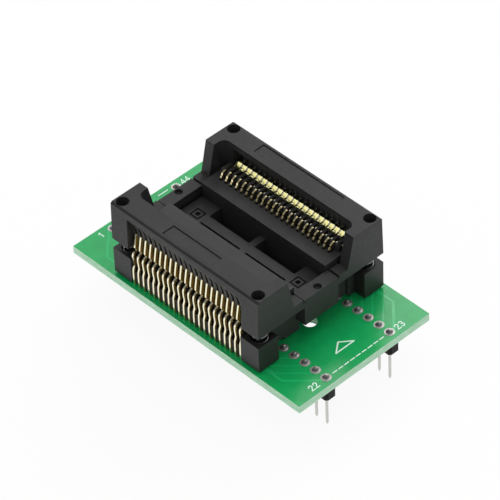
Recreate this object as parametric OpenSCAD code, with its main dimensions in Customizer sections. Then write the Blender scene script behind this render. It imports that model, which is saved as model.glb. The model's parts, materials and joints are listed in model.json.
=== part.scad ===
// Open-top spring-contact test socket for small-outline packages, on a plug-in adapter board.
// Origin: centre of the two pin rows, on the plane that the pin headers seat on. +X runs along
// the rows, +Z points up out of the package seat. Heights named _h in the contact, base and
// cover sections are above the board's top face.

/* [Contact rows] */
// Contacts in each row
contacts_per_side = 22; // [12:1:28]
// Distance between neighbouring contacts
contact_pitch = 1.27; // [1.2:0.01:1.4]
// Thickness of the contact sheet, along the row
contact_t = 0.34; // [0.3:0.01:0.4]
// Width of a contact's leg and spring bow
contact_w = 0.42; // [0.34:0.01:0.48]
// Distance between the two rows of contact legs
leg_span = 29.1; // [28.9:0.1:29.5]
// Distance between the two rows of contact tips
tip_span = 13.6; // [13.2:0.1:13.8]
// Height of the outermost point of a contact's spring bow, about which its arm swings
bow_h = 6.5; // [6.3:0.05:6.7]
// Inner reach of the spring bow
bow_r = 0.9; // [0.8:0.05:1]
// Length of leg that stands out below the board
tail_l = 0.9; // [0.6:0.1:1.4]
// Room on each side of a contact in a comb slot
comb_clear = 0.09; // [0.08:0.01:0.12]
// Angle that the contact arms swing through at full travel
swing = 10.3; // [6:0.1:10.5]

/* [Adapter board] */
// Width of the board
board_w = 31.2; // [30.8:0.1:40]
// Thickness of the board
board_t = 1.6; // [1:0.1:2.4]
// Board left beyond the centre of each end pin
board_margin = 1.68; // [1.5:0.02:5]
// Diameter of the two mounting holes
mount_hole_d = 2.7; // [2:0.1:2.9]
// Distance from a mounting hole's centre to the socket's end face
mount_hole_inset = 3.0; // [2.6:0.1:3.2]

/* [Pin headers] */
// Distance between neighbouring pins
pin_pitch = 2.54; // [2.3:0.01:2.8]
// Distance between the two pin rows
row_span = 15.24; // [10.16:0.01:17.78]
// Width of a header's insulator
header_w = 2.5; // [2:0.1:3]
// Height of a header's insulator, below the board
header_h = 2.5; // [1.6:0.1:4]
// Diameter of a pin's free end
pin_d = 0.52; // [0.44:0.01:0.6]
// Length of a pin below its insulator
pin_l = 6.85; // [3:0.05:9]
// Diameter of a pin inside its insulator
collar_d = 0.76; // [0.7:0.02:1]
// Diameter of a header pin's solder pad
pad_d = 1.9; // [1.4:0.05:2.1]

/* [Socket base] */
// Distance from the last contact to the socket's end face
end_l = 4.75; // [4.7:0.05:5.6]
// Height of the corner blocks
block_h = 5.9; // [5.4:0.1:6.2]
// Height of the ledges that carry a package's leads
seat_h = 10.7; // [10.6:0.05:10.9]
// Height of the floor between the ledges
floor_h = 7.5; // [6.5:0.1:9]
// Distance between the ledges, across the pit
pit_w = 7.4; // [6:0.1:9]
// Depth of the pockets in the pit's floor
pocket_depth = 5; // [2:0.1:5.4]
// Width of the middle rib between the pockets
rib_w = 2; // [1:0.1:3]
// Height of the deck that the contact legs stand in
deck_h = 3.2; // [2.8:0.1:3.4]
// Height of the four feet under the base
foot_h = 0.4; // [0.2:0.05:0.6]

/* [Cover] */
// Height of the cover's top
cover_h = 16.3; // [16:0.1:18]
// Height of the comb that hangs under each rail, from the cover's top
comb_drop = 6; // [5.5:0.1:6.2]
// Thickness of a rail's lip over its comb
lip_t = 1.3; // [1:0.05:1.5]
// How far the cover presses down
travel = 1.9; // [1.2:0.1:2]
// Gap between a corner block and the cover above it
cover_gap = 2.1; // [2.05:0.05:2.4]
// Width of a rail's top
rail_w = 4.3; // [4.2:0.1:4.5]
// Thickness of the cover's end plates
ear_t = 2.05; // [1.6:0.05:2.1]
// Height of the middle of the cover's end bars
bar_h = 9.67; // [9.2:0.05:10.2]
// Diameter of the locating holes in the cover's top
tool_hole_d = 2.36; // [1.6:0.02:2.5]
// Diameter of the shallow holes in the end bars
bar_hole_d = 1.5; // [1:0.1:1.6]
// Length of the label field on the front rail
front_label_l = 11.8; // [6:0.2:20]
// Width of the label field on the front rail
front_label_w = 2.7; // [1:0.05:2.8]
// Length of the label field on the back rail
back_label_l = 19.8; // [6:0.2:24]
// Width of the label field on the back rail
back_label_w = 2.35; // [1:0.05:2.5]

/* [Tip guides] */
// Width of a comb strip that keeps the contact arms apart
guide_w = 0.9; // [0.6:0.05:1.2]
// Height of a comb strip's solid foot, over the ledge
guide_foot = 0.5; // [0.3:0.05:0.8]
// Height of a comb strip's teeth, over the ledge
guide_h = 1.15; // [0.9:0.05:1.3]

/* [Return springs] */
// Mean diameter of a spring's coil
spring_d = 2.6; // [2.4:0.1:2.7]
// Diameter of the spring wire
wire_d = 0.4; // [0.3:0.02:0.44]
// Turns in a spring
spring_turns = 6; // [4:1:7]

/* [Hidden] */
$fn = 48;

// Fits and small reliefs
fit = 0.015;        // radial room of a pin in its bore, and of a solder joint round its pin
anchor_fit = 0.02;  // room round a contact's anchor in the base
slide_clear = 0.15; // room between the cover and the base
cut = 1;            // how far a cutter runs past the face that it opens
contact_slot = contact_t + 2 * comb_clear;

// Rows
contact_row = (contacts_per_side - 1) * contact_pitch;
pin_row = (contacts_per_side - 1) * pin_pitch;
contact_xs = [for (i = [0 : contacts_per_side - 1]) i * contact_pitch - contact_row / 2];
pin_xs = [for (i = [0 : contacts_per_side - 1]) i * pin_pitch - pin_row / 2];
row_y = row_span / 2;
leg_y = leg_span / 2;
tip_y = tip_span / 2;

// Board and headers
deck = header_h + board_t;
body_l = contact_row + 2 * end_l;
body_x = body_l / 2;
board_l = pin_row + 2 * board_margin;
mount_hole_x = body_x - mount_hole_inset;
leg_hole_d = norm([contact_t, contact_w]) + 0.2;
leg_pad_d = leg_hole_d + 0.35;
pin_stub = 0.75;
solder_h = 0.5;
pad_t = 0.06;
header_notch = 0.45;

// Contacts, in the plane of one contact: [distance from the centre line, height]
bow = [leg_y - 0.1, bow_h];
bow_middle = bow - [bow_r, 0];
bow_joint = 0.03;
anchor_l = 1.4;
anchor_low = 1.2;
anchor_t = 0.6;

// Outline of a moving arm: over the bow, up the lever, over to the tip and back underneath
lever_top = bow + [-1.03, 4.7];
plate_top = bow + [-2.25, 4.9];
arm_outline = [
    for (a = [0 : 15 : 75]) bow_middle + (bow_r + contact_w / 2) * [cos(a), sin(a)],
    bow + [-0.72, 1.24], bow + [-0.44, 1.42], bow + [-0.4, 2.0],
    bow + [-0.85, 4.6], lever_top, plate_top,
    bow + [-3.2, 5.95], bow + [-3.7, 5.85], bow + [-4.2, 5.5], bow + [-4.75, 5.45],
    [tip_y + 1.9, seat_h + 1.65], [tip_y + 1.0, seat_h + 1.8], [tip_y + 0.45, seat_h + 1.6],
    [tip_y + 0.14, seat_h + 1.25], [tip_y + 0.02, seat_h + 0.86], [tip_y - 0.15, seat_h + 0.72],
    for (a = [120 : 30 : 300]) [tip_y, seat_h + 0.38] + 0.32 * [cos(a), sin(a)],
    [tip_y + 0.46, seat_h + 0.45], [tip_y + 0.7, seat_h + 0.95], [tip_y + 1.1, seat_h + 1.28],
    [tip_y + 1.8, seat_h + 1.36], [tip_y + 2.7, seat_h + 1.05],
    bow + [-4.35, 4.4], bow + [-3.85, 3.3], bow + [-3.05, 2.1], bow + [-1.95, 1.1],
    bow + [-1.2, 0.8],
    for (a = [75 : -15 : 0]) bow_middle + (bow_r - contact_w / 2) * [cos(a), sin(a)],
    for (a = [210 : 30 : 330]) bow + contact_w / 2 * [cos(a), sin(a)]];

// Middle line of a fixed foot: from below the board up the leg to the bow
foot_line = [[leg_y, -board_t - tail_l], [leg_y, deck_h + 0.2], [leg_y - 0.06, deck_h + 0.5],
    [leg_y - 0.25, deck_h + 0.85], [leg_y - 0.3, deck_h + 1.2], [leg_y - 0.27, deck_h + 1.6],
    bow + [-0.07, -1.0], bow];

// Ends of the socket
window_x = contact_row / 2 + 0.75;
tub_x = contact_row / 2 + 2;
block_l = end_l - 0.35;
block_w = 4.6;
block_y = leg_y + 0.35;
seat_y = tip_y + 1.8;
deck_y = leg_y - contact_w / 2 - slide_clear;
web_h = 5;
web_l = 2.7;
catch_w = 6;
catch_out = 0.4;
catch_low = 4.9;
catch_t = 0.6;

// Cover
cover_low = block_h + cover_gap;
cover_x = body_x + 0.05;
draft = 0.3;
cover_y = block_y - draft;
rail_in = cover_y - rail_w;
edge = 0.3;
lip = cover_h - lip_t;
comb_in = leg_y - 2.25;
comb_low = cover_h - comb_drop;
ear_x = cover_x - ear_t;
ear_foot = rail_in - 3.95;
ear_top = rail_in - 2.5;
bar_in = tub_x + slide_clear;
bar_step = 0.22;
bar_groove = 0.3;
bar_hole_x = cover_x - bar_hole_d / 2 - 0.2;
tongue_x = tub_x + catch_out + slide_clear;
tongue_w = 8;
tongue_h = catch_low - 1;
tool_inset = 1.44;
tool_x = cover_x - tool_inset;
tool_y = cover_y - tool_inset;
label_inset = 0.7;
label_deep = 0.15;

// Where a point of an arm is once the arm has swung open
function swung(p) = bow + [(p - bow)[0] * cos(swing) + (p - bow)[1] * sin(swing),
    (p - bow)[1] * cos(swing) - (p - bow)[0] * sin(swing)];
over_arm = travel + slide_clear;
slit_top = over_arm + max([for (p = arm_outline) if (swung(p)[0] > rail_in) swung(p)[1]]);
slit_mid = swung(plate_top) + [0, over_arm];
slit_out = swung(lever_top) + [0, over_arm];

// Springs
spring_x = (window_x + cover_x) / 2;
spring_y = (rail_in + block_y) / 2;
spring_low = 3.5;
spring_high = cover_low + 2.5;
spring_seat = 0.02;
well_d = spring_d + wire_d + 0.3;
post_d = spring_d - wire_d - 0.6;
post_top = cover_low - 0.7;
wire_sides = 6;
rings_per_turn = 12;

function reversed(list) = [for (i = [len(list) - 1 : -1 : 0]) list[i]];
// Unit vector to the left of a path at point i
function left_of(path, i) =
    let (a = path[max(i - 1, 0)], b = path[min(i + 1, len(path) - 1)])
    [a[1] - b[1], b[0] - a[0]] / norm(b - a);
// The path moved sideways by d
function beside(path, d) = [for (i = [0 : len(path) - 1]) path[i] + d * left_of(path, i)];

// Extrudes a [distance from the centre line, height] outline by t along X, about X = 0
module across(t) {
    rotate([90, 0, 90]) linear_extrude(t, center = true) children();
}

module at_each(xs) {
    for (x = xs) translate([x, 0, 0]) children();
}

// side is 1 for the back row and -1 for the front row
module on_side(side) {
    mirror([0, side < 0 ? 1 : 0, 0]) children();
}

module at_corners(x, y) {
    for (sx = [-1, 1], sy = [-1, 1]) translate([sx * x, sy * y, 0]) children();
}

// Box between two heights, centred on X = 0 and reaching from y_in to y_out
module slab(length, y_in, y_out, low, high) {
    translate([-length / 2, y_in, low]) cube([length, y_out - y_in, high - low]);
}

module adapter_board() {
    color("seagreen") difference() {
        translate([-board_l / 2, -board_w / 2, header_h]) cube([board_l, board_w, board_t]);
        translate([0, 0, header_h - cut]) {
            for (side = [-1, 1]) {
                translate([0, side * row_y, 0]) at_each(pin_xs)
                    cylinder(d = pin_d + 0.3, h = board_t + 2 * cut, $fn = 24);
                translate([0, side * leg_y, 0]) at_each(contact_xs)
                    cylinder(d = leg_hole_d, h = board_t + 2 * cut, $fn = 24);
                translate([side * mount_hole_x, 0, 0])
                    cylinder(d = mount_hole_d, h = board_t + 2 * cut);
            }
        }
    }
}

module header_strip(side) {
    step = pin_pitch / 2;
    half = header_w / 2;
    edge_line = [for (x = pin_xs, p = [[-step, half - header_notch], [header_notch - step, half],
        [step - header_notch, half], [step, half - header_notch]]) [x, 0] + p];
    color([0.12, 0.12, 0.13]) translate([0, side * row_y, 0]) difference() {
        linear_extrude(header_h)
            polygon(concat(edge_line, reversed([for (p = edge_line) [p[0], -p[1]]])));
        translate([0, 0, -cut]) at_each(pin_xs)
            cylinder(d = collar_d + 2 * fit, h = header_h + 2 * cut, $fn = 24);
    }
}

module header_pins(side) {
    tip_r = pin_d / 4;
    tip_h = pin_d;
    outline = [[0, -pin_l], [tip_r, -pin_l], [pin_d / 2, tip_h - pin_l], [pin_d / 2, 0],
        [collar_d / 2, 0], [collar_d / 2, header_h], [pin_d / 2, header_h],
        [pin_d / 2, deck + pin_stub - tip_r], [tip_r, deck + pin_stub], [0, deck + pin_stub]];
    color("silver") translate([0, side * row_y, 0]) at_each(pin_xs)
        rotate_extrude($fn = 24) polygon(outline);
}

// Solder on the board's top face, round each header pin
module header_solder(side) {
    inner = pin_d / 2 + fit;
    outline = [[inner, 0], [pad_d / 2, 0], [pad_d / 2, pad_t], [pad_d * 0.38, pad_t],
        [pad_d * 0.27, solder_h * 0.45], [inner + 0.08, solder_h], [inner, solder_h]];
    color([0.75, 0.75, 0.77]) translate([0, side * row_y, deck]) at_each(pin_xs)
        rotate_extrude($fn = 32) polygon(outline);
}

// Solder under the board, round each contact tail
module contact_solder(side) {
    outline = [[0, 0], [leg_pad_d / 2, 0], [leg_pad_d / 2, -pad_t],
        [leg_pad_d * 0.36, -tail_l * 0.45], [0, -tail_l * 0.45]];
    color([0.75, 0.75, 0.77]) translate([0, side * leg_y, header_h]) at_each(contact_xs)
        difference() {
            rotate_extrude($fn = 32) polygon(outline);
            cube([contact_t + 2 * fit, contact_w + 2 * fit, 3 * tail_l], center = true);
        }
}

// Fixed part of each contact: tail, leg, anchor and the lower half of the bow
module contact_feet(side) {
    color([0.93, 0.8, 0.45]) on_side(side) translate([0, 0, deck]) at_each(contact_xs)
        across(contact_t) difference() {
            union() {
                polygon(concat(beside(foot_line, contact_w / 2),
                    reversed(beside(foot_line, -contact_w / 2))));
                translate([leg_y - contact_w / 2 - anchor_l, anchor_low])
                    square([anchor_l + contact_w / 2, anchor_t]);
            }
            translate(bow) circle(d = contact_w + 2 * bow_joint, $fn = 24);
        }
}

// Moving part of each contact: the upper half of the bow, the lever and the arm to the tip
module contact_arms(side) {
    color([0.96, 0.84, 0.5]) on_side(side) translate([0, 0, deck]) at_each(contact_xs)
        across(contact_t) polygon(arm_outline);
}

// Comb strip on a ledge, behind the contact tips, with a tooth between each two arms
module tip_guide(side) {
    strip_l = contact_row + 2 * contact_pitch;
    color([0.16, 0.16, 0.17]) on_side(side) translate([0, 0, deck]) difference() {
        slab(strip_l, seat_y - guide_w, seat_y, seat_h, seat_h + guide_h);
        at_each(contact_xs) slab(contact_slot, seat_y - guide_w - cut, seat_y + cut,
            seat_h + guide_foot, seat_h + guide_h + cut);
    }
}

// One half of the base, on the back side
module base_side() {
    slab(2 * tub_x, 0, seat_y, foot_h, floor_h);
    slab(2 * tub_x, pit_w / 2, seat_y, foot_h, seat_h);
    slab(2 * tub_x, seat_y, deck_y, foot_h, deck_h);
    for (end = [-1, 1]) {
        translate([end * (body_x - block_l / 2), 0, 0]) {
            slab(block_l, block_y - block_w, block_y, foot_h, block_h);
            slab(block_l - 1.2, block_y - block_w + 0.6, block_y - 0.6, 0, foot_h);
        }
        translate([end * (tub_x - web_l / 2 + catch_out), 0, 0])
            slab(web_l, seat_y - 0.1, block_y - block_w + 0.1, foot_h, web_h);
    }
    // Teeth between the contact legs
    tooth = contact_pitch - contact_slot;
    at_each([for (i = [0 : contacts_per_side]) (i - contacts_per_side / 2) * contact_pitch])
        slab(tooth, deck_y - 0.1, leg_y, foot_h, deck_h);
}

// What is cut out of the base on one side
module base_side_cuts() {
    // Slots for the contact anchors
    at_each(contact_xs) slab(contact_t + 2 * anchor_fit,
        leg_y - contact_w / 2 - anchor_l - anchor_fit, deck_y + cut,
        anchor_low - anchor_fit, anchor_low + anchor_t + anchor_fit);
    // Slots in the ledge for the contact tips
    at_each(contact_xs) slab(contact_slot, tip_y - 0.42, seat_y + cut, seat_h - 0.5, seat_h + cut);
    // Channel over the header's solder joints
    slab(2 * body_l, row_y - pad_d / 2 - 0.2, row_y + pad_d / 2 + 0.2, -cut, pin_stub + 0.25);
    // Spring wells
    for (end = [-1, 1]) translate([end * spring_x, spring_y, spring_low]) difference() {
        cylinder(d = well_d, h = block_h);
        translate([0, 0, -cut]) cylinder(d = post_d, h = post_top - spring_low + cut);
    }
}

module socket_base() {
    pocket_l = contact_row / 2 - 3.5;
    pocket_mid = pocket_l / 2 + 0.7;
    mark = 2.1;
    color([0.17, 0.17, 0.18]) translate([0, 0, deck]) {
        difference() {
            union() {
                for (side = [-1, 1]) on_side(side) base_side();
                for (end = [-1, 1]) translate([end * (tub_x + catch_out / 2), 0, 0])
                    slab(catch_out + 0.2, -catch_w / 2, catch_w / 2, catch_low,
                        catch_low + catch_t);
            }
            for (side = [-1, 1]) on_side(side) base_side_cuts();
            for (end = [-1, 1], side = [-1, 1]) on_side(side)
                translate([end * pocket_mid, 0, 0]) slab(pocket_l, rib_w / 2, pit_w / 2,
                    floor_h - pocket_depth, floor_h + cut);
            // Square marks with a dimple at the ends of the floor
            for (end = [-1, 1]) translate([end * (tub_x - 2.9), 0, floor_h]) {
                difference() {
                    cube([mark, mark, 0.3], center = true);
                    cube([mark - 0.4, mark - 0.4, 1], center = true);
                }
                cylinder(d = 0.8, h = 0.6, center = true);
            }
            // Room for a nut or screw end over each mounting hole
            for (end = [-1, 1]) translate([end * mount_hole_x, 0, 0])
                slab(2 * mount_hole_d, -mount_hole_d, mount_hole_d, -cut, 3.4);
        }
        for (end = [-1, 1], side = [-1, 1])
            translate([end * spring_x, side * spring_y, spring_low - 0.1])
                cylinder(d = post_d, h = post_top - spring_low + 0.1);
    }
}

// Outline of a rail: a block with a sloping outer face and a small chamfer along its top
module rail_outline() {
    polygon([[rail_in, cover_low], [cover_y + draft, cover_low], [cover_y + 0.05, cover_h - edge],
        [cover_y - edge, cover_h], [rail_in, cover_h]]);
}

// What the long window under a rail takes away: all below a hollow lip and a hanging comb
module window_outline() {
    polygon([[rail_in - cut, cover_low - cut], [block_y + cut, cover_low - cut],
        [block_y + cut, lip], [block_y, lip], [leg_y - 0.25, lip - 0.9], [leg_y - 0.75, lip - 1.9],
        [leg_y - 1.05, lip - 3.0], [leg_y - 1.2, comb_low], [comb_in, comb_low],
        [comb_in, slit_top], [rail_in - cut, slit_top]]);
}

// One slit of the comb, in which a contact arm moves
module comb_slit() {
    polygon([[comb_in - cut, cover_low], [comb_in - cut, slit_top], [slit_mid[0] - 0.3, slit_top],
        slit_mid, slit_out, [block_y + cut, slit_out[1]], [block_y + cut, cover_low]]);
}

// One half of the cover, on the back side
module cover_side() {
    corner = 1.4;
    difference() {
        across(2 * cover_x) rail_outline();
        across(2 * window_x) window_outline();
        at_each(contact_xs) across(contact_slot) comb_slit();
        for (end = [-1, 1]) {
            translate([end * tool_x, tool_y, cover_h - 2.5])
                cylinder(d = tool_hole_d, h = 2.5 + cut);
            translate([end * spring_x, spring_y, cover_low - cut])
                cylinder(d = well_d, h = spring_high - cover_low + cut);
        }
    }
    for (end = [-1, 1]) translate([end * (cover_x - ear_t / 2), 0, 0]) {
        across(ear_t) polygon([[0, cover_low], [rail_in + 0.5, cover_low],
            [rail_in + 0.5, cover_h], [ear_top, cover_h], [ear_foot, bar_h + bar_step],
            [tongue_w / 2, bar_h + bar_step], [tongue_w / 2, bar_h], [0, bar_h]]);
    }
    // Rounded corners where the end plates meet the rails
    for (end = [0, 1]) mirror([end, 0, 0])
        translate([ear_x - corner, rail_in - corner, cover_low])
            linear_extrude(cover_h - cover_low) difference() {
                square(corner + 0.1);
                circle(corner);
            }
}

module actuator_cover() {
    hook_in = tub_x + 0.1;
    color([0.2, 0.2, 0.21]) translate([0, 0, deck]) difference() {
        union() {
            for (side = [-1, 1]) on_side(side) cover_side();
            for (end = [0, 1]) mirror([end, 0, 0]) {
                // End bar, its tongue, and the hook that stops the cover under the base's catch
                translate([bar_in, -ear_foot, cover_low])
                    cube([cover_x - bar_in, 2 * ear_foot, bar_h - cover_low]);
                translate([tongue_x, -tongue_w / 2, tongue_h])
                    cube([cover_x - tongue_x, tongue_w, bar_h - tongue_h]);
                translate([hook_in, -catch_w / 2, tongue_h])
                    cube([tongue_x - hook_in + 0.1, catch_w, catch_low - slide_clear - tongue_h]);
            }
        }
        for (end = [-1, 1]) translate([end * bar_hole_x, 0, bar_h - 0.6])
            cylinder(d = bar_hole_d, h = 0.6 + cut);
        // Grooves across the end bars, beside their lower middle part
        for (side = [-1, 1]) on_side(side) slab(2 * body_l, tongue_w / 2,
            tongue_w / 2 + bar_groove, bar_h - 0.45, bar_h + cut);
        // Shallow label fields on the rails
        on_side(-1) slab(front_label_l, cover_y - label_inset - front_label_w,
            cover_y - label_inset, cover_h - label_deep, cover_h + cut);
        slab(back_label_l, cover_y - label_inset - back_label_w, cover_y - label_inset,
            cover_h - label_deep, cover_h + cut);
    }
}

module return_spring(end, side) {
    rings = spring_turns * rings_per_turn;
    low = deck + spring_low + wire_d / 2 + spring_seat;
    rise = spring_high - spring_low - wire_d - 2 * spring_seat;
    points = [for (i = [0 : rings], j = [0 : wire_sides - 1])
        let (turn = 360 * i / rings_per_turn, around = 360 * j / wire_sides,
            r = spring_d / 2 + wire_d / 2 * cos(around))
        [r * cos(turn), r * sin(turn), low + rise * i / rings + wire_d / 2 * sin(around)]];
    walls = [for (i = [0 : rings - 1], j = [0 : wire_sides - 1])
        let (a = i * wire_sides + j, b = i * wire_sides + (j + 1) % wire_sides)
        [a, a + wire_sides, b + wire_sides, b]];
    first = [for (j = [0 : wire_sides - 1]) j];
    last = [for (j = [wire_sides - 1 : -1 : 0]) rings * wire_sides + j];
    color([0.7, 0.7, 0.72]) translate([end * spring_x, side * spring_y, 0])
        polyhedron(points, concat([first], walls, [last]));
}

adapter_board();
header_strip(-1);  // header_strip_front
header_strip(1);  // header_strip_back
header_pins(-1);  // header_pins_front
header_pins(1);  // header_pins_back
header_solder(-1);  // header_solder_front
header_solder(1);  // header_solder_back
socket_base();
tip_guide(-1);  // tip_guide_front
tip_guide(1);  // tip_guide_back
contact_feet(-1);  // contact_feet_front
contact_feet(1);  // contact_feet_back
contact_arms(-1);  // contact_arms_front
contact_arms(1);  // contact_arms_back
contact_solder(-1);  // contact_solder_front
contact_solder(1);  // contact_solder_back
actuator_cover();
return_spring(-1, -1);  // return_spring_front_left
return_spring(1, -1);  // return_spring_front_right
return_spring(-1, 1);  // return_spring_back_left
return_spring(1, 1);  // return_spring_back_right
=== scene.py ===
"""Looks for the zif socket on its adapter board.

Everything is in the CAD model's frame. Shapes are drawn in millimetres, and to_object makes them metres.
"""

import json
import math

import bmesh
import bpy
from mathutils import Euler, Matrix, Vector


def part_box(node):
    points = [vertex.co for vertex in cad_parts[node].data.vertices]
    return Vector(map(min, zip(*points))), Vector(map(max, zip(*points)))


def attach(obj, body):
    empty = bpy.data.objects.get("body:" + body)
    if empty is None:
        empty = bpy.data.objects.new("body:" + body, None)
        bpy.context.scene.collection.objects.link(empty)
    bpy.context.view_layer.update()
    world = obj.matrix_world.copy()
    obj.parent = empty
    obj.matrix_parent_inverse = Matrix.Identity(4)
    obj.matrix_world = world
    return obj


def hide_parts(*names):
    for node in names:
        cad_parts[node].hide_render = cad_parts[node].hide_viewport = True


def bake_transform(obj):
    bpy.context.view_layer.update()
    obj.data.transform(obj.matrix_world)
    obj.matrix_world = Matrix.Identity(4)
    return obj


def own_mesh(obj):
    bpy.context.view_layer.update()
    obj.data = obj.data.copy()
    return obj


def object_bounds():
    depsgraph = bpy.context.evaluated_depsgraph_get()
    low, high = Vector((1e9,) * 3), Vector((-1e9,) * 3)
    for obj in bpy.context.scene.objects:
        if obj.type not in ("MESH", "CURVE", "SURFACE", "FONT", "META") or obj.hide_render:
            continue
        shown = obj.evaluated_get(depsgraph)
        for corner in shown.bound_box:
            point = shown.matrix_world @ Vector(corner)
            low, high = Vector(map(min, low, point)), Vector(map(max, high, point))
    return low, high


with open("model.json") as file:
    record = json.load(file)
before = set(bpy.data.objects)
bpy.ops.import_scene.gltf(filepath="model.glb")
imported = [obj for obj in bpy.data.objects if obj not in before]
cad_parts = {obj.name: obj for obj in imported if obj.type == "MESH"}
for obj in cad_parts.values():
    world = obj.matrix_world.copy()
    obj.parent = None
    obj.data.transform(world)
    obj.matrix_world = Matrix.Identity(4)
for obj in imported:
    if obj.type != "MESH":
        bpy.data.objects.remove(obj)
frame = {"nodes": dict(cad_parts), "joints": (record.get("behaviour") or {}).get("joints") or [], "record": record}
cad_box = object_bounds()
nodes = frame["nodes"]
MM = 0.001

# --- Places taken from the CAD model, in millimetres --------------------------------------------


def node_box(name):
    """The node's lowest and highest corner at rest, in millimetres."""
    low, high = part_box(name)
    return low / MM, high / MM


def named(entries, name):
    """The entry of that name in a list from the frame."""
    return next(entry for entry in entries if entry["name"] == name)


deck = node_box("adapter_board")[1].z
foot_low, foot_high = node_box("contact_feet_back")
arm_low = node_box("contact_arms_back")[0]
guide_low, guide_high = node_box("tip_guide_back")
pin_ends = node_box("header_pins_back")[0].z
cover_top = node_box("actuator_cover")[1].z
hinge = Vector(named(frame["joints"], "back_contacts_open")["pos_m"]) / MM
dip_pins = named(frame["record"]["mounts"], "dip_pins")["dims"]

# Contacts. Their outline is in distance from the middle and height above the deck.
contacts = 22
contact_t = 0.34
contact_w = 0.42
contact_pitch = (foot_high.x - foot_low.x - contact_t) / (contacts - 1)
first_contact_x = -contact_pitch * (contacts - 1) / 2
leg_y = foot_high.y - contact_w / 2
tail_h = foot_low.z - deck
deck_h = 3.2
bow = Vector((hinge.y, hinge.z - deck))
bow_r = 0.9
tip_r = 0.32
tip = Vector((arm_low.y + tip_r, guide_low.z - deck))

# Header pins
pins = 22
pin_pitch = dip_pins["spacing_x_mm"] / (pins - 1)
first_pin_x = -pin_pitch * (pins - 1) / 2
pin_row_y = dip_pins["spacing_y_mm"] / 2

# Base, with the square marks in its floor, and the label fields on the cover's top
block_h, block_in = 5.9, 10.3
comb_half = 14.1
floor_h = 7.5
mark_x, mark_size, mark_line, dimple_half = 12.435, 2.1, 0.26, 0.4
label_fields = ((-13.9, -11.2, 5.9), (11.55, 13.9, 9.9))  # y from, y to, and half the length

# --- Material nodes -----------------------------------------------------------------------------


class Nodes:
    """Short calls for the nodes of a tree."""

    def __init__(self, tree):
        self.tree = tree

    def add(self, kind, values=None, **settings):
        made = self.tree.nodes.new(kind)
        for key, value in settings.items():
            setattr(made, key, value)
        for key, value in (values or {}).items():
            self.feed(made.inputs[key], value)
        return made

    def feed(self, socket, value):
        if isinstance(value, bpy.types.NodeSocket):
            self.tree.links.new(value, socket)
        else:
            socket.default_value = value

    def math(self, operation, a, b=0.0):
        return self.add("ShaderNodeMath", {0: a, 1: b}, operation=operation).outputs[0]

    def span(self, value, low, high, to_low=0.0, to_high=1.0):
        """Runs from to_low to to_high while the value runs from low to high, and stays there outside."""
        return self.add("ShaderNodeMapRange", {
            "Value": value, "From Min": low, "From Max": high, "To Min": to_low,
            "To Max": to_high}, clamp=True).outputs["Result"]

    def seen_directly(self):
        """1 for camera, glossy and transmission rays, and 0 for the rays that light the object."""
        path = self.add("ShaderNodeLightPath")
        total = path.outputs["Is Camera Ray"]
        for kind in ("Is Glossy Ray", "Is Transmission Ray"):
            total = self.math("MAXIMUM", total, path.outputs[kind])
        return total


class Surface(Nodes):
    """A node material with a Principled shader. Its patterns follow the place in the CAD frame."""

    def __init__(self, name, metallic=0.0, roughness=0.5, specular=0.5):
        self.material = bpy.data.materials.new(name)
        self.material.use_nodes = True
        super().__init__(self.material.node_tree)
        self.shader = self.tree.nodes["Principled BSDF"]
        self.shader.inputs["Metallic"].default_value = metallic
        self.shader.inputs["Roughness"].default_value = roughness
        self.shader.inputs["Specular IOR Level"].default_value = specular
        self.place = self.add("ShaderNodeTexCoord").outputs["Object"]
        self.split = self.add("ShaderNodeSeparateXYZ", {"Vector": self.place})

    def along(self, axis):
        """The place along an axis, in millimetres."""
        return self.math("MULTIPLY", self.split.outputs[axis], 1 / MM)

    def facing(self, axis):
        """How squarely the face looks along an axis, either way."""
        geometry = self.add("ShaderNodeNewGeometry")
        split = self.add("ShaderNodeSeparateXYZ", {"Vector": geometry.outputs["True Normal"]})
        return self.math("ABSOLUTE", split.outputs[axis])

    def away(self, value, middle=0.0):
        """The distance between a value and a middle."""
        return self.math("ABSOLUTE", self.math("SUBTRACT", value, middle))

    def band(self, value, middle, half):
        """1 within half of the middle, and 0 a little further out."""
        return self.span(self.away(value, middle), half, half * 1.4, 1.0, 0.0)

    def noise(self, size_mm, detail=3.0, stretch=(1, 1, 1)):
        mapping = self.add("ShaderNodeMapping", {"Vector": self.place, "Scale": stretch})
        return self.add("ShaderNodeTexNoise", {
            "Vector": mapping.outputs[0], "Scale": 1 / (size_mm * MM), "Detail": detail,
            "Roughness": 0.55}).outputs["Fac"]

    def ramp(self, factor, *stops):
        made = self.add("ShaderNodeValToRGB", {"Fac": factor})
        line = made.color_ramp
        while len(line.elements) < len(stops):
            line.elements.new(0.5)
        for element, (at, color) in zip(line.elements, stops):
            element.position = at
            element.color = (*color, 1)
        return made.outputs["Color"]

    def mix(self, factor, a, b):
        made = self.add("ShaderNodeMix", data_type="RGBA")
        sockets = {s.identifier: s for s in made.inputs}
        self.feed(sockets["Factor_Float"], factor)
        for key, color in (("A_Color", a), ("B_Color", b)):
            self.feed(sockets[key], (*color, 1) if isinstance(color, tuple) else color)
        return next(s for s in made.outputs if s.identifier == "Result_Color")

    def color(self, value):
        self.feed(self.shader.inputs["Base Color"], value)

    def rough(self, value):
        self.feed(self.shader.inputs["Roughness"], value)

    def bump(self, height, depth_mm, strength=1.0):
        made = self.add("ShaderNodeBump", {
            "Height": height, "Distance": depth_mm * MM, "Strength": strength})
        self.feed(self.shader.inputs["Normal"], made.outputs["Normal"])


def grey(level):
    return (level, level, level)


DEEP_BLACK = grey(0.003)


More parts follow.
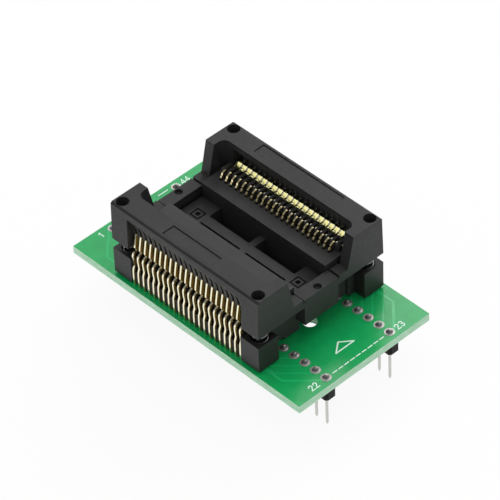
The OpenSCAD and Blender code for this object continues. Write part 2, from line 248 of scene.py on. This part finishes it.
def moulded_black(name, level, rough_low, rough_high, specular=0.32):
    """Glass-filled black moulding: fine spark-eroded texture and faint flow marks."""
    s = Surface(name, specular=specular)
    flow = s.noise(5.0, detail=4, stretch=(0.5, 1, 1))
    grain = s.noise(0.16, detail=2)
    base = s.ramp(flow, (0.3, grey(level * 0.86)), (0.7, (level * 1.12, level * 1.13, level * 1.16)))
    speckle = s.span(grain, 0.35, 0.7, 0.9, 1.12)
    tint = s.add("ShaderNodeVectorMath", {0: base, "Scale": speckle}, operation="SCALE").outputs["Vector"]
    s.color(tint)
    s.rough(s.span(s.noise(0.6), 0.3, 0.7, rough_low, rough_high))
    s.bump(grain, 0.012, 0.7)
    return s, tint


def base_black():
    """The base's moulding. Each corner block is darker below its top, painted shade beneath the cover. The square
    marks in its floor are deep black, and the comb behind the legs is painted deep black as shade."""
    s, base = moulded_black("socket_black_base", 0.031, 0.42, 0.54)
    z = s.along("Z")
    out_x, out_y = s.away(s.along("X")), s.away(s.along("Y"))
    block_top = deck + block_h
    # Painted shade: each corner block is darkened below its top, beneath the cover.
    painted_block_shade = s.math("MULTIPLY", s.span(z, block_top + 0.1, block_top + 1.3, 0.5, 0.0),
                    s.span(out_y, block_in - 0.8, block_in - 0.1))
    base = s.mix(painted_block_shade, base, grey(0.006))

    off = s.math("MAXIMUM", s.away(out_x, mark_x), out_y)
    square = s.band(off, mark_size / 2 - 0.1, mark_line / 2)
    dimple = s.span(off, dimple_half, dimple_half + 0.1, 1.0, 0.0)
    floor_top = s.band(z, deck + floor_h - 0.2, 0.25)
    marks = s.math("MULTIPLY", s.math("MAXIMUM", square, dimple), floor_top)
    # Painted shade: the comb behind the legs is painted deep black, as it lies in shade between them.
    painted_comb_shade = s.math("MULTIPLY", s.band(out_y, leg_y - 0.9, 0.75),
                         s.span(out_x, comb_half - 0.2, comb_half, 1.0, 0.0))
    marks_and_painted_shade = s.math("MAXIMUM", marks, painted_comb_shade)
    s.color(s.mix(s.math("MULTIPLY", marks_and_painted_shade, 0.85), base, DEEP_BLACK))
    s.rough(s.span(marks_and_painted_shade, 0, 1, 0.47, 0.8))
    return s.material


def cover_black():
    """The cover's moulding, with painted shade: a thin near-black band in the small step below the outer top
    edges, and round the label fields' edges.
    """
    s, base = moulded_black("socket_black_cover", 0.027, 0.42, 0.54, specular=0.26)
    y, z = s.along("Y"), s.along("Z")
    out_x = s.away(s.along("X"))
    # Painted shade: a thin near-black band in the small step 0.3 mm below the top.
    painted_edge_shade = s.band(z, cover_top - 0.3, 0.045)
    on_top = s.span(z, cover_top - 0.25, cover_top - 0.2)
    for low, high, half_l in label_fields:
        past_end = s.math("SUBTRACT", out_x, half_l)
        past_side = s.math("SUBTRACT", s.away(y, (low + high) / 2), (high - low) / 2)
        # Painted shade round the recessed edge of each label field.
        rim = s.band(s.math("MAXIMUM", past_end, past_side), 0.0, 0.05)
        painted_edge_shade = s.math("MAXIMUM", painted_edge_shade, s.math("MULTIPLY", rim, on_top))
    s.color(s.mix(s.math("MULTIPLY", painted_edge_shade, 0.9), base, DEEP_BLACK))
    return s.material


def header_black():
    return moulded_black("header_black", 0.006, 0.34, 0.46, specular=0.12)[0].material


def board_green():
    """Solder mask over glass-epoxy: green on the faces, pale laminate on the cut edges."""
    s = Surface("board_green")
    weave = s.noise(2.2, detail=5)
    mask = s.ramp(weave, (0.3, (0.005, 0.355, 0.092)), (0.7, (0.008, 0.405, 0.108)))
    cut = s.span(s.facing("Z"), 0.35, 0.6, 1.0, 0.0)
    layers = s.noise(0.25, detail=2, stretch=(0.12, 0.12, 1))
    laminate = s.ramp(layers, (0.3, (0.36, 0.62, 0.42)), (0.7, (0.52, 0.80, 0.58)))
    s.color(s.mix(cut, mask, laminate))
    s.rough(s.span(cut, 0, 1, 0.24, 0.55))
    s.bump(weave, 0.02, 0.35)
    return s.material


def trace_green():
    """Mask over copper: a little lighter than over bare laminate."""
    s = Surface("board_green_over_copper", roughness=0.15)
    tone = s.noise(1.5)
    s.color(s.ramp(tone, (0.3, (0.012, 0.45, 0.13)), (0.7, (0.018, 0.50, 0.15))))
    s.bump(tone, 0.01, 0.3)
    return s.material


def silk_white():
    """Screen-printed ink that lets a little of the green through."""
    s = Surface("silkscreen_ink")
    ink = s.noise(0.18)
    s.color(s.ramp(ink, (0.2, (0.58, 0.90, 0.72)), (0.5, (0.78, 0.99, 0.88))))
    s.bump(ink, 0.01, 0.5)
    return s.material


def tin():
    """Bright tin plate with fine drawing marks along the pin."""
    s = Surface("pin_tin", metallic=1.0)
    drawn = s.noise(0.12, stretch=(1, 1, 0.08))
    s.color(s.ramp(drawn, (0.25, (0.50, 0.485, 0.46)), (0.75, (0.68, 0.665, 0.64))))
    s.rough(s.span(drawn, 0.3, 0.7, 0.22, 0.38))
    s.bump(drawn, 0.006, 0.6)
    return s.material


def solder():
    """Solder fillets: bright metal, darker in a ring round each pin."""
    s = Surface("solder", metallic=0.8)
    from_cell = s.math("SUBTRACT", s.along("X"), first_pin_x - pin_pitch / 2)
    from_pin = s.math("SUBTRACT", s.math("FLOORED_MODULO", from_cell, pin_pitch), pin_pitch / 2)
    across = s.math("SUBTRACT", s.away(s.along("Y")), pin_row_y)
    reach = s.math("SQRT", s.math("ADD", s.math("MULTIPLY", from_pin, from_pin),
                                  s.math("MULTIPLY", across, across)))
    ring = s.ramp(s.span(reach, 0.2, 1.0), (0.0, grey(0.75)), (0.22, grey(0.12)), (0.42, grey(0.2)),
                  (0.62, (0.72, 0.72, 0.69)), (1.0, (0.56, 0.58, 0.53)))
    crystal = s.noise(0.3, detail=4)
    s.color(s.mix(s.span(crystal, 0.4, 0.75, 0.0, 0.45), ring, (0.32, 0.32, 0.29)))
    s.rough(s.span(crystal, 0.3, 0.7, 0.38, 0.55))
    s.bump(crystal, 0.03, 0.6)
    return s.material


def gold():
    """Gold plate on stamped contacts: pale and mirror-like on the arms, a deeper gold at the tips that is painted
    shade, and duller on the front row's legs, most of all on their flanks, whose deeper gold is a painted
    reflection."""
    s = Surface("contact_gold", metallic=1.0)
    plate = s.noise(0.9, detail=4)
    thin = s.ramp(plate, (0.3, (0.99, 0.97, 0.79)), (0.7, (0.998, 0.985, 0.84)))
    # Painted shade: the deeper gold used near the tips, where the arms lie in shade.
    thick = s.ramp(plate, (0.3, (0.95, 0.80, 0.44)), (0.7, (0.98, 0.87, 0.54)))
    worn = s.ramp(plate, (0.3, (0.98, 0.92, 0.66)), (0.7, (0.99, 0.94, 0.72)))
    arm = s.mix(s.span(s.away(s.along("Y")), 8.6, 9.8), thick, thin)
    front_leg = s.span(s.along("Y"), -12.9, -13.4)
    # The front legs' flanks: rougher, as sheared edges are, and a deeper gold that is a painted reflection of the
    # neighbouring legs.
    flank_rough_and_painted_reflection = s.math("MULTIPLY", front_leg, s.span(s.facing("X"), 0.8, 0.95))
    s.color(s.mix(flank_rough_and_painted_reflection, s.mix(front_leg, arm, worn), (0.92, 0.70, 0.22)))

    rolled = s.noise(0.3, detail=2, stretch=(0.2, 1, 1))
    polish = s.span(rolled, 0.3, 0.7, 0.05, 0.09)
    dull = s.math("ADD", s.math("MULTIPLY", front_leg, 0.12), s.math("MULTIPLY", flank_rough_and_painted_reflection, 0.3))
    s.rough(s.math("ADD", polish, dull))
    s.bump(rolled, 0.001, 0.3)
    return s.material


def spring_steel():
    """Dark drawn spring wire."""
    s = Surface("spring_steel", metallic=1.0)
    drawn = s.noise(0.2)
    s.color(s.ramp(drawn, (0.3, grey(0.16)), (0.7, (0.30, 0.30, 0.31))))
    s.rough(s.span(drawn, 0.3, 0.7, 0.28, 0.45))
    s.bump(drawn, 0.008, 0.5)
    return s.material


# --- Mesh helpers -------------------------------------------------------------------------------


def dress(thing, material):
    thing.data.materials.clear()
    thing.data.materials.append(material)


def to_object(bm, name):
    """Makes a bmesh drawn in millimetres into an object in the model's frame."""
    mesh = bpy.data.meshes.new(name)
    bm.to_mesh(mesh)
    bm.free()
    mesh.transform(Matrix.Scale(MM, 4))
    thing = bpy.data.objects.new(name, mesh)
    bpy.context.scene.collection.objects.link(thing)
    return thing


def finish_piece(bm, name, material):
    bmesh.ops.recalc_face_normals(bm, faces=bm.faces)
    thing = to_object(bm, name)
    dress(thing, material)
    return thing


def bridge(bm, here, there, smooth=False):
    """Faces between two closed rings of vertices."""
    for a, b, c, d in zip(here, here[1:] + here[:1], there[1:] + there[:1], there):
        bm.faces.new((a, b, c, d)).smooth = smooth


def soften_edges(thing, width):
    """Rounds the sharp edges a little, as a moulding has them."""
    weld = thing.modifiers.new("weld", "WELD")
    weld.merge_threshold = 0.002 * MM
    bevel = thing.modifiers.new("edges", "BEVEL")
    bevel.width = width * MM
    bevel.segments = 2
    bevel.limit_method = "ANGLE"
    bevel.angle_limit = math.radians(35)
    bevel.use_clamp_overlap = True


def round_corners(points):
    """Cuts each corner of a closed outline, so that it runs in smoother curves."""
    cut = []
    for here, there in zip(points, points[1:] + points[:1]):
        cut += [here.lerp(there, 0.25), here.lerp(there, 0.75)]
    return cut


def arc(middle, radius, first, last, steps):
    """Points on an arc, from the first to the last angle in degrees."""
    turns = [math.radians(first + (last - first) * i / steps) for i in range(steps + 1)]
    return [middle + radius * Vector((math.cos(a), math.sin(a))) for a in turns]


def from_point(origin, *steps):
    return [origin + Vector(step) for step in steps]


# --- Contacts -----------------------------------------------------------------------------------


def contact_outline(side):
    """One stamped contact from its tail over the bow to its tip, and back underneath. The front row's
    nose is lower, because the front rail hides it in the photo."""
    half = contact_w / 2
    bow_middle = bow - Vector((bow_r, 0))
    outer, inner = leg_y + half, leg_y - half
    barb_y, barb_low, barb_high = 12.98, 1.2, 1.8

    outside = [Vector((outer, tail_h)), Vector((outer, 0.4))]
    outside += from_point(Vector((outer, deck_h)), (0, 0), (-0.06, 0.5), (-0.25, 0.95), (-0.3, 1.25),
                          (-0.24, 1.7))
    outside += from_point(bow, (half - 0.05, -0.8))
    over_bow = arc(bow_middle, bow_r + half, 0, 75, 5)
    arm_top = from_point(bow, (-0.72, 1.24), (-0.44, 1.42), (-0.4, 2.0), (-0.62, 3.3), (-0.85, 4.6),
                         (-1.03, 4.7), (-2.25, 4.8), (-2.65, 4.9), (-3.2, 5.9), (-3.3, 5.93),
                         (-3.7, 5.85), (-4.2, 5.5), (-4.75, 5.45))
    if side < 0:
        nose = from_point(tip, (1.9, 1.58), (1.0, 1.6), (0.55, 1.28), (0.22, 0.9), (0.04, 0.62))
        bead = arc(tip + Vector((0.02, 0.28)), 0.75 * tip_r, 120, 300, 6)
    else:
        nose = from_point(tip, (1.9, 1.58), (1.0, 1.68), (0.45, 1.52), (0.14, 1.25), (0.02, 0.86),
                          (-0.15, 0.72))
        bead = arc(tip + Vector((0, 0.38)), tip_r, 120, 300, 6)
    behind_tip = from_point(tip, (0.46, 0.45), (0.7, 0.95), (1.1, 1.28), (1.8, 1.36), (2.7, 1.05))
    arm_under = from_point(bow, (-4.35, 4.4), (-3.85, 3.3), (-3.05, 2.1), (-1.95, 1.1), (-1.2, 0.8))
    under_bow = arc(bow_middle, bow_r - half, 75, 0, 5)
    inside = from_point(bow, (-half - 0.09, -0.8))
    inside += from_point(Vector((inner, deck_h)), (-0.24, 1.6), (-0.3, 1.15), (-0.25, 0.75),
                         (-0.06, 0.4), (0, 0))
    inside += [Vector(p) for p in ((inner, barb_high + 0.06), (barb_y, barb_high), (barb_y, barb_low),
                                   (inner, barb_low - 0.06), (inner, tail_h))]
    return (outside + over_bow + arm_top + nose + bead + behind_tip + arm_under + under_bow
            + inside)


def contact_row(side, end, material):
    """A row of contacts along x on one side (-1 front, 1 back) of the middle."""
    outline = round_corners(contact_outline(side))
    bm = bmesh.new()
    for i in range(contacts):
        x = first_contact_x + i * contact_pitch
        left, right = [[bm.verts.new((x + dx, side * p.x, deck + p.y)) for p in outline]
                       for dx in (-contact_t / 2, contact_t / 2)]
        for rim in (bm.faces.new(left), bm.faces.new(reversed(right))):
            for edge in rim.edges:
                edge.smooth = False
        bridge(bm, right, left, smooth=True)
    piece = finish_piece(bm, "contacts_" + end, material)
    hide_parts("contact_arms_" + end, "contact_feet_" + end)
    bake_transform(piece)


def tip_comb(material):
    """Teeth between the arms, just behind their tips, on both of the base's comb strips."""
    tooth_w, chamfer = 0.62, 0.1
    strip_y, strip_top = guide_high.y, guide_high.z
    profile = [(-0.85, -0.15), (-0.85, 0.2), (-0.7, 0.35), (0, 0.4), (1.0, 0.35), (1.18, 0.15),
               (1.18, -0.65), (0.9, -0.85), (-0.05, -0.15)]
    sections = ((-tooth_w / 2, chamfer), (-tooth_w / 2 + chamfer, 0), (tooth_w / 2 - chamfer, 0),
                (tooth_w / 2, chamfer))
    bm = bmesh.new()
    for side in (-1, 1):
        for i in range(contacts + 1):
            x = first_contact_x + (i - 0.5) * contact_pitch
            rings = [[bm.verts.new((x + dx, side * (strip_y + out),
                                    strip_top + up - (drop if up > 0 else 0)))
                      for out, up in profile] for dx, drop in sections]
            bm.faces.new(rings[0])
            bm.faces.new(reversed(rings[-1]))
            for here, there in zip(rings, rings[1:]):
                bridge(bm, here, there)
    piece = finish_piece(bm, "tip_comb", material)
    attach(piece, "base")


def tongue_ribs(material):
    """Short ribs on the cover beside its end tongues, which close the corners of the window."""
    x_in, x_out, y_in, y_out = 15.6, 16.7, 3.9, 4.6
    low, high = deck + 6.2, deck + 8.05
    bm = bmesh.new()
    for end in (-1, 1):
        for side in (-1, 1):
            for v in bmesh.ops.create_cube(bm, size=1.0)["verts"]:
                v.co = Vector((end * (x_in if v.co.x < 0 else x_out),
                               side * (y_in if v.co.y < 0 else y_out),
                               low if v.co.z < 0 else high))
    piece = finish_piece(bm, "tongue_ribs", material)
    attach(piece, "cover")


# --- Springs ------------------------------------------------------------------------------------


def spring(node, material):
    """A coil with closed ends, in the place of its CAD node."""
    low, high = node_box(node)
    middle = (low + high) / 2
    wire_r = 0.2
    coil_r = (high.x - low.x) / 2 - wire_r
    bottom, top = low.z + wire_r, high.z - wire_r
    turns, closed, steps, sides = 6.0, 0.8, 28, 8
    count = int(turns * steps)
    bm = bmesh.new()
    rings = []
    for i in range(count + 1):
        turn = turns * i / count
        rise = min(max((turn - closed) / (turns - 2 * closed), 0), 1)
        closing = 2 * wire_r * (min(turn / closed, 1) + max((turn - turns + closed) / closed, 0))
        z = bottom + closing + rise * (top - bottom - 4 * wire_r)
        a = 2 * math.pi * turn
        out, up = Vector((math.cos(a), math.sin(a), 0)), Vector((0, 0, 1))
        centre = Vector((middle.x, middle.y, z)) + coil_r * out
        rings.append([bm.verts.new(centre + wire_r * (math.cos(b) * out + math.sin(b) * up))
                      for b in [2 * math.pi * k / sides for k in range(sides)]])
    for here, there in zip(rings, rings[1:]):
        bridge(bm, here, there, smooth=True)
    bm.faces.new(rings[0])
    bm.faces.new(reversed(rings[-1]))
    piece = finish_piece(bm, node.replace("return_spring", "coil"), material)
    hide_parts(node)
    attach(piece, "base")
    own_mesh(piece)


# --- Printing and copper on the board -----------------------------------------------------------

# Strokes of the digits, in heights of a digit: across, and up from the foot
DIGITS = {
    "1": [[(0.10, 0.76), (0.36, 1.0), (0.36, 0.0)]],
    "2": [[(0.04, 0.74), (0.08, 0.88), (0.2, 0.98), (0.36, 1.0), (0.5, 0.93), (0.57, 0.78),
           (0.52, 0.6), (0.04, 0.0), (0.62, 0.0)]],
    "3": [[(0.04, 0.86), (0.16, 0.97), (0.34, 1.0), (0.5, 0.92), (0.56, 0.76), (0.48, 0.6),
           (0.28, 0.53)],
          [(0.28, 0.53), (0.5, 0.46), (0.6, 0.28), (0.53, 0.1), (0.36, 0.0), (0.16, 0.02),
           (0.02, 0.14)]],
    "4": [[(0.46, 0.0), (0.46, 1.0), (0.0, 0.3)], [(0.0, 0.3), (0.64, 0.3)]],
}
PIN_NUMBERS = {"22": (27.3, -11.5), "23": (27.3, 9.1), "1": (-26.3, -10.6), "44": (-26.3, 9.1)}
digit_h = 1.2
digit_pitch = 0.86 * digit_h
ink_w = 0.2
ink_t = 0.035
stroke_step = 0.004  # how much higher a stroke lies than the one that it crosses


def left_of(way):
    return Vector((-way.y, way.x))


def ribbon(bm, path, width, thick):
    """A flat line on the board along a path of (x, y) points, with mitred bends and round ends."""
    half, cap_sides = width / 2, 6
    points = [Vector(p) for p in path]
    ways = [(b - a).normalized() for a, b in zip(points, points[1:])]
    lefts, rights = [], []
    for p, before, after in zip(points, ways[:1] + ways, ways + ways[-1:]):
        across = left_of((before + after).normalized())
        out = across * half / max(across.dot(left_of(after)), 0.5)
        lefts.append(p + out)
        rights.append(p - out)
    left, right = [[bm.verts.new((p.x, p.y, deck)) for p in line] for line in (lefts, rights)]
    faces = [bm.faces.new((left[i], left[i + 1], right[i + 1], right[i])) for i in range(len(ways))]
    for end, way, near, far in ((points[0], -ways[0], right[0], left[0]),
                                (points[-1], ways[-1], left[-1], right[-1])):
        cap = [end + half * (left_of(way) * math.cos(a) + way * math.sin(a))
               for a in [math.pi * k / cap_sides for k in range(1, cap_sides)]]
        faces.append(bm.faces.new([near] + [bm.verts.new((p.x, p.y, deck)) for p in cap] + [far]))
    for made in bmesh.ops.extrude_face_region(bm, geom=faces)["geom"]:
        if isinstance(made, bmesh.types.BMVert):
            made.co.z += thick


def silkscreen(material):
    """Pin numbers at the corners, which read towards +y, and plain marks where the real board is
    printed with its name."""
    bm = bmesh.new()
    for text, (foot_x, start_y) in PIN_NUMBERS.items():
        for place, digit in enumerate(text):
            y = start_y + place * digit_pitch
            for layer, stroke in enumerate(DIGITS[digit]):
                path = [(foot_x - digit_h * up, y + digit_h * across) for across, up in stroke]
                ribbon(bm, path, ink_w, ink_t + layer * stroke_step)

    dashes, dash_x, first_dash_y, dash_pitch, dash_l = 9, 26.75, -6.1, 1.4, 0.95
    for k in range(dashes):
        y = first_dash_y + k * dash_pitch
        ribbon(bm, [(dash_x, y), (dash_x, y + dash_l)], ink_w, ink_t)
    far_end_bar = [(-27.2, 3.8), (-27.2, 6.0)]
    ribbon(bm, far_end_bar, ink_w, ink_t)
    arrow, arrow_w = [(23.8, -2.4), (23.8, 1.9), (22.1, -0.25), (23.8, -2.4)], 0.26
    for layer, side in enumerate(zip(arrow, arrow[1:])):
        ribbon(bm, side, arrow_w, ink_t + layer * stroke_step)
    piece = finish_piece(bm, "board_silkscreen", material)
    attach(piece, "base")


def traces(material):
    """Copper runs under the mask, from each header pin out to its contact leg."""
    outer_lane, lane_pitch = 13.35, 0.36
    pad_r, least_run, jog, leg_gap = 0.7, 1.0, 0.4, 0.5
    trace_w, end_trace_w, trace_t = 0.26, 0.5, 0.025
    bm = bmesh.new()
    for side in (-1, 1):
        for k in range(pins):
            x_pin = first_pin_x + k * pin_pitch
            x_leg = first_contact_x + k * contact_pitch
            from_end = min(k, pins - 1 - k)
            lane = outer_lane - lane_pitch * from_end
            toward = 1 if x_leg > x_pin else -1
            sideways = abs(x_leg - x_pin)
            slant = min(lane - pin_row_y - least_run, sideways)
            path = [(x_pin, pin_row_y + pad_r), (x_pin, lane - slant), (x_pin + toward * slant, lane)]
            if sideways - slant > 2 * jog:
                path += [(x_leg - toward * jog, lane), (x_leg, lane + jog)]
            path += [(x_leg, leg_y - leg_gap)]
            ribbon(bm, [(x, side * y) for x, y in path], trace_w if from_end else end_trace_w, trace_t)
    piece = finish_piece(bm, "board_traces", material)
    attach(piece, "base")


def leg_rings(material):
    """A disc round each contact leg, just proud of the mask, that closes its hole in the board."""
    ring_r, low, high, sides = 0.42, deck - 0.3, deck + 0.015, 16
    turns = [2 * math.pi * j / sides for j in range(sides)]
    bm = bmesh.new()
    for side in (-1, 1):
        for k in range(contacts):
            x, y = first_contact_x + k * contact_pitch, side * leg_y
            bottom, top = [[bm.verts.new((x + ring_r * math.cos(a), y + ring_r * math.sin(a), z))
                            for a in turns] for z in (low, high)]
            bm.faces.new(bottom)
            bm.faces.new(top)
            bridge(bm, bottom, top)
    piece = finish_piece(bm, "leg_rings", material)
    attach(piece, "base")


# --- The part -----------------------------------------------------------------------------------

green, tin_plate, joint_metal = board_green(), tin(), solder()
socket_material, cover_material, strip_material = base_black(), cover_black(), header_black()
contact_material, wire_material = gold(), spring_steel()

for name, material in {
    "adapter_board": green,
    "header_strip_front": strip_material, "header_strip_back": strip_material,
    "header_pins_front": tin_plate, "header_pins_back": tin_plate,
    "header_solder_front": joint_metal, "header_solder_back": joint_metal,
    "contact_solder_front": joint_metal, "contact_solder_back": joint_metal,
    "socket_base": socket_material,
    "tip_guide_front": socket_material, "tip_guide_back": socket_material,
    "actuator_cover": cover_material,
}.items():
    dress(nodes[name], material)

for name, width in {"socket_base": 0.07, "actuator_cover": 0.08,
                    "header_strip_front": 0.08, "header_strip_back": 0.08}.items():
    soften_edges(nodes[name], width)

contact_row(-1, "front", contact_material)
contact_row(1, "back", contact_material)
for name in sorted(nodes):
    if name.startswith("return_spring"):
        spring(name, wire_material)
tip_comb(socket_material)
tongue_ribs(cover_material)
silkscreen(silk_white())
traces(trace_green())
leg_rings(green)

# --- Floor, light and camera --------------------------------------------------------------------


def floor_white():
    """Matte white, mixed with a glow where it is seen, so that only a faint shadow stays."""
    material = bpy.data.materials.new("floor_white")
    material.use_nodes = True
    material.node_tree.nodes.clear()
    n = Nodes(material.node_tree)
    matte = n.add("ShaderNodeBsdfDiffuse", {"Color": (0.9, 0.9, 0.9, 1)})
    glow = n.add("ShaderNodeEmission", {"Strength": 1.0})
    share = n.math("MULTIPLY", n.seen_directly(), 0.92)
    mix = n.add("ShaderNodeMixShader", {0: share, 1: matte.outputs[0], 2: glow.outputs[0]})
    n.add("ShaderNodeOutputMaterial", {"Surface": mix.outputs[0]})
    return material


def floor():
    """A wide white floor just under the pins."""
    size, z = 3000.0, pin_ends - 0.02
    corners = [(-size, -size), (size, -size), (size, size), (-size, size)]
    bm = bmesh.new()
    bm.faces.new([bm.verts.new((x, y, z)) for x, y in corners])
    thing = to_object(bm, "floor")
    dress(thing, floor_white())


def surroundings(level):
    """A white room: the given level as light, and white where it is seen or mirrored. What is
    mirrored is dimmer high up in front and overhead, where the room is open."""
    world = bpy.data.worlds.new("white_room")
    bpy.context.scene.world = world
    world.use_nodes = True
    n = Nodes(world.node_tree)
    background = n.tree.nodes["Background"]
    background.inputs["Color"].default_value = (1, 1, 1, 1)
    way = n.add("ShaderNodeSeparateXYZ", {0: n.add("ShaderNodeTexCoord").outputs["Generated"]})
    above = n.span(way.outputs["Z"], 0.05, 0.38, 0.0, 0.78)
    front = n.span(way.outputs["Y"], 0.05, 0.4, 1.0, 0.0)
    overhead = n.span(way.outputs["Z"], 0.71, 0.84, 0.0, 0.75)
    dim = n.math("MULTIPLY", n.math("MAXIMUM", n.math("MULTIPLY", above, front), overhead),
                 n.add("ShaderNodeLightPath").outputs["Is Glossy Ray"])
    seen = n.span(n.seen_directly(), 0.0, 1.0, level, 1.0)
    n.feed(background.inputs["Strength"], n.math("SUBTRACT", seen, dim))


def softbox(name, place, size, watts, mirrored=True):
    """An area lamp, (width, height) in metres, that faces the object's middle."""
    lamp = bpy.data.lights.new(name, "AREA")
    lamp.shape = "RECTANGLE"
    lamp.size, lamp.size_y = size
    lamp.energy = watts
    thing = bpy.data.objects.new(name, lamp)
    bpy.context.scene.collection.objects.link(thing)
    middle = (cad_box[0] + cad_box[1]) / 2
    thing.location = Vector(place)
    thing.rotation_euler = (middle - Vector(place)).to_track_quat("-Z", "Y").to_euler()
    thing.visible_glossy = mirrored


def photo_camera():
    """The camera as it was fitted to the photograph: a 36 mm sensor, metres and degrees."""
    camera = bpy.data.cameras.new("camera")
    camera.sensor_width = 36.0
    camera.lens = 242.94
    camera.clip_start, camera.clip_end = 0.01, 20.0
    viewer = bpy.data.objects.new("camera", camera)
    bpy.context.scene.collection.objects.link(viewer)
    viewer.location = (0.316077, -0.285039, 0.405606)
    tilt = [math.radians(a) for a in (47.13611, 1.93139, 46.10570)]
    viewer.rotation_euler = Euler(tilt, "XYZ")
    return viewer


floor()
surroundings(0.64)
softbox("key_back_left", (-0.18, 0.66, 0.51), (0.8, 0.40), 2.9)
softbox("overhead", (-0.12, 0.08, 0.8), (0.5, 0.5), 1.5, mirrored=False)
softbox("fill_front", (-0.35, -0.8, 0.1), (0.6, 0.6), 0.8, mirrored=False)
bpy.context.scene.camera = photo_camera()
bpy.context.scene.view_settings.view_transform = "Standard"
